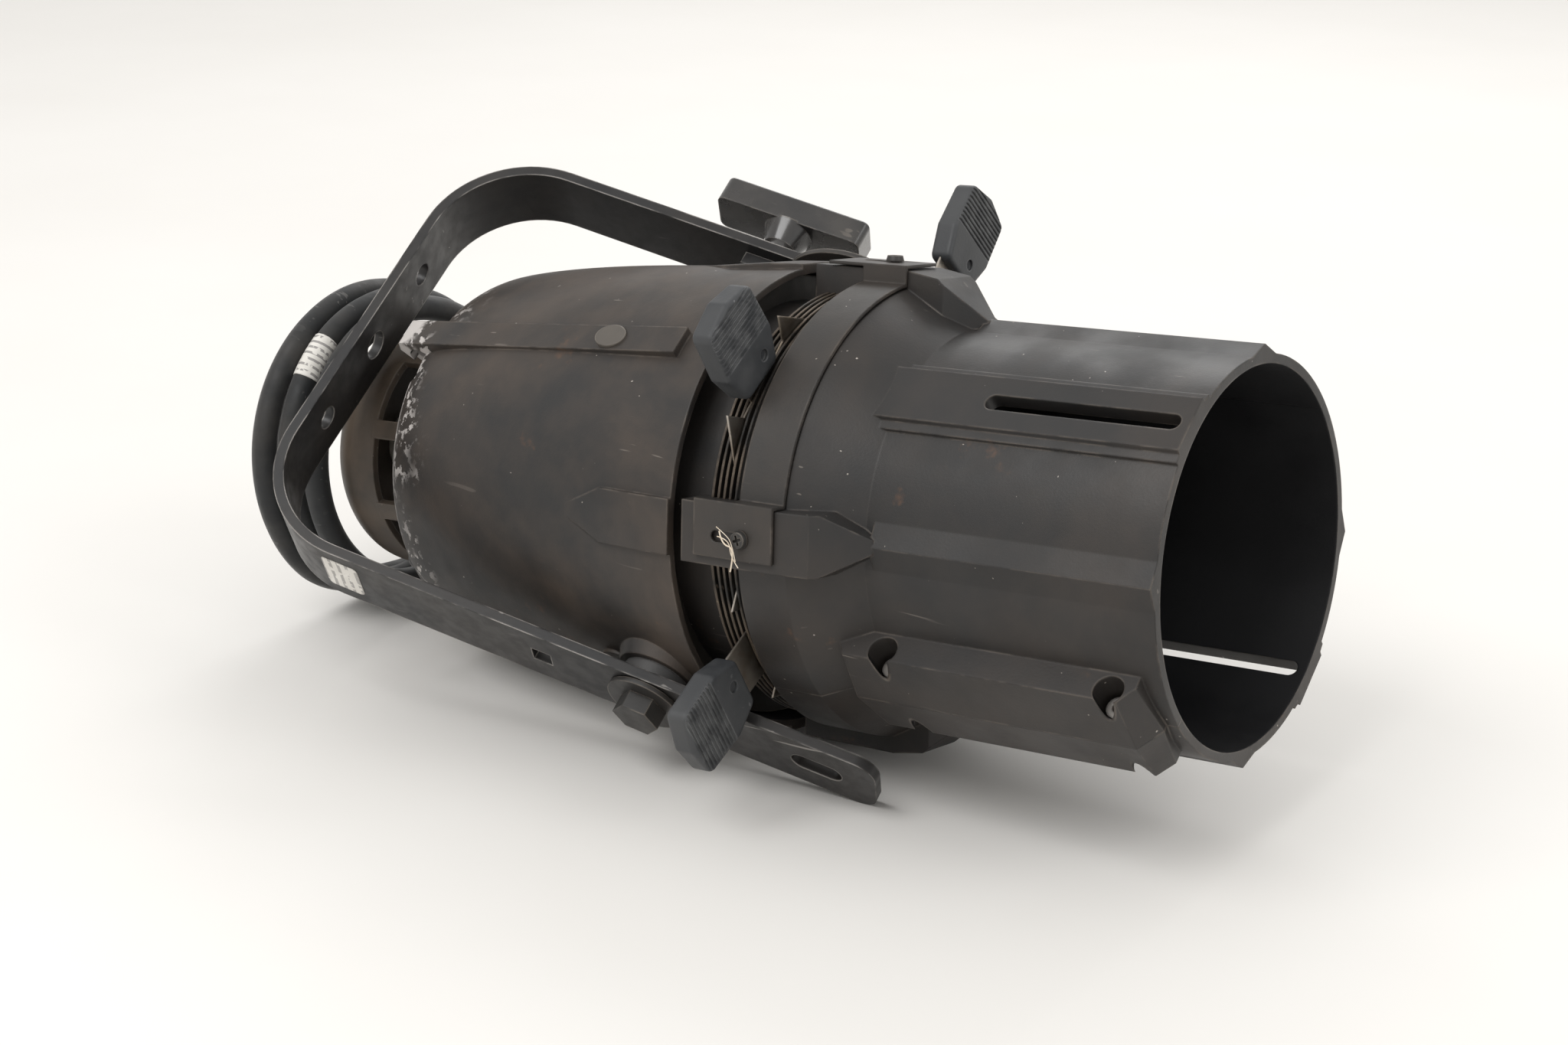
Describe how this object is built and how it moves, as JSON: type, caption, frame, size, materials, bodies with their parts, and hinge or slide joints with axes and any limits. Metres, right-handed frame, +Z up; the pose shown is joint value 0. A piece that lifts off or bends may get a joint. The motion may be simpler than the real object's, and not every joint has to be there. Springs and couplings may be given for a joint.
{
  "type": "ellipsoidal spotlight",
  "caption": "Theatre ellipsoidal spotlight body lying on its side: ribbed barrel, shutters, reflector housing, folded yoke and wound lead; no lens tube fitted.",
  "frame": {"origin": "on the surface the spotlight lies on, under the middle of its box, lead and connector left out", "axes": "+X the way the beam points, 5.3 degrees above horizontal; +Z up; the lock handle is on the +Y side, with the body rolled 36.0 degrees about the beam so that it lies on the near yoke arm's tip, the lower shutter grip and the wound lead"},
  "size_m": [0.5134, 0.3073, 0.2311],
  "materials": {
    "cast_body": "satin black textured paint on die-cast aluminium, dusty and scuffed",
    "burner_cast": "black paint browned by dust",
    "yoke_steel": "black powder coat on flat steel bar, worn bright on the edges",
    "black_hardware": "blackened steel fasteners, washers and plates",
    "blade_steel": "thin stainless sheet, heat-browned",
    "grip_plastic": "dark grey moulded plastic",
    "handle_plastic": "glossy black moulding with worn corners",
    "cable_rubber": "dark grey rubber sheath",
    "connector_plastic": "black moulded connector",
    "reflector_mirror": "bright anodised",
    "ceramic": "off-white ceramic",
    "lamp_glass": "clear quartz",
    "filament": "tungsten coils",
    "brass": "brass contact pins",
    "bright_screw": "zinc-plated, dulled"
  },
  "bodies": {
    "root": {"barrel_lower_half": "cast_body", "barrel_upper_half": "cast_body", "burner_housing": "burner_cast", "cable_coil": "cable_rubber", "cable_connector": "connector_plastic", "cable_gland": "cable_rubber", "connector_pins": "brass", "cover_screws": "black_hardware", "ellipsoidal_reflector": "reflector_mirror", "friction_disc": "black_hardware", "gate_collar": "cast_body", "gate_plate": "black_hardware", "lamp_base": "ceramic", "lamp_envelope": "lamp_glass", "lamp_filament": "filament", "lamp_socket": "ceramic", "pivot_bolts": "black_hardware", "pivot_bush": "grip_plastic", "pivot_nuts": "black_hardware", "pivot_washers": "black_hardware", "power_cable": "cable_rubber", "rail_plugs": "grip_plastic", "reflector_housing": "cast_body", "reflector_ring": "black_hardware", "seam_screws": "bright_screw", "shutter_guide_1": "black_hardware", "shutter_guide_2": "black_hardware", "shutter_guide_3": "black_hardware", "shutter_guide_4": "black_hardware"},
    "yoke": {"yoke": "yoke_steel", "clamp_jaw": "black_hardware"},
    "lock_handle": {"lock_handle": "handle_plastic"},
    "shutter_top": {"shutter_blade_top": "blade_steel", "shutter_grip_top": "grip_plastic"},
    "shutter_near": {"shutter_blade_near": "blade_steel", "shutter_grip_near": "grip_plastic"},
    "shutter_far": {"shutter_blade_far": "blade_steel", "shutter_grip_far": "grip_plastic"},
    "shutter_under": {"shutter_blade_under": "blade_steel", "shutter_grip_under": "grip_plastic"},
    "slot_cover": {"slot_cover": "cast_body"},
    "burner_screw": {"burner_screw": "grip_plastic"},
    "alignment_knob": {"alignment_knob": "grip_plastic"}
  },
  "joints": [
    {"name": "yoke_tilt", "type": "hinge", "parent": "root", "child": "yoke", "pos_m": [-0.01009, 0.00474, 0.10463], "axis": [-0.0542, 0.8095, 0.5846], "range_deg": [0, 95]},
    {"name": "lock_turn", "type": "hinge", "parent": "yoke", "child": "lock_handle", "pos_m": [-0.0664, 0.09675, 0.19095], "axis": [-0.0542, 0.8095, 0.5846], "range_deg": [0, 180]},
    {"name": "shutter_top_slide", "type": "slide", "parent": "root", "child": "shutter_top", "axis": [-0.0708, -0.6421, 0.7633], "range_m": [0, 0.028]},
    {"name": "shutter_near_slide", "type": "slide", "parent": "root", "child": "shutter_near", "axis": [0.0411, -0.8953, -0.4435], "range_m": [-0.008, 0.012]},
    {"name": "shutter_far_slide", "type": "slide", "parent": "root", "child": "shutter_far", "axis": [-0.0623, 0.7379, 0.6721], "range_m": [-0.006, 0.004]},
    {"name": "shutter_under_slide", "type": "slide", "parent": "root", "child": "shutter_under", "axis": [0.0642, 0.7187, -0.6923], "range_m": [0, 0.018]},
    {"name": "slot_cover_slide", "type": "slide", "parent": "root", "child": "slot_cover", "axis": [0.9957, 0, 0.0924], "range_m": [0, 0.012]},
    {"name": "burner_screw_turn", "type": "hinge", "parent": "root", "child": "burner_screw", "pos_m": [-0.16588, -0.04788, 0.05186], "axis": [0.9957, 0, 0.0924], "continuous": true},
    {"name": "alignment_knob_turn", "type": "hinge", "parent": "root", "child": "alignment_knob", "pos_m": [-0.23512, 0.00474, 0.08376], "axis": [0.9957, 0, 0.0924], "range_deg": [-180, 180]}
  ]
}
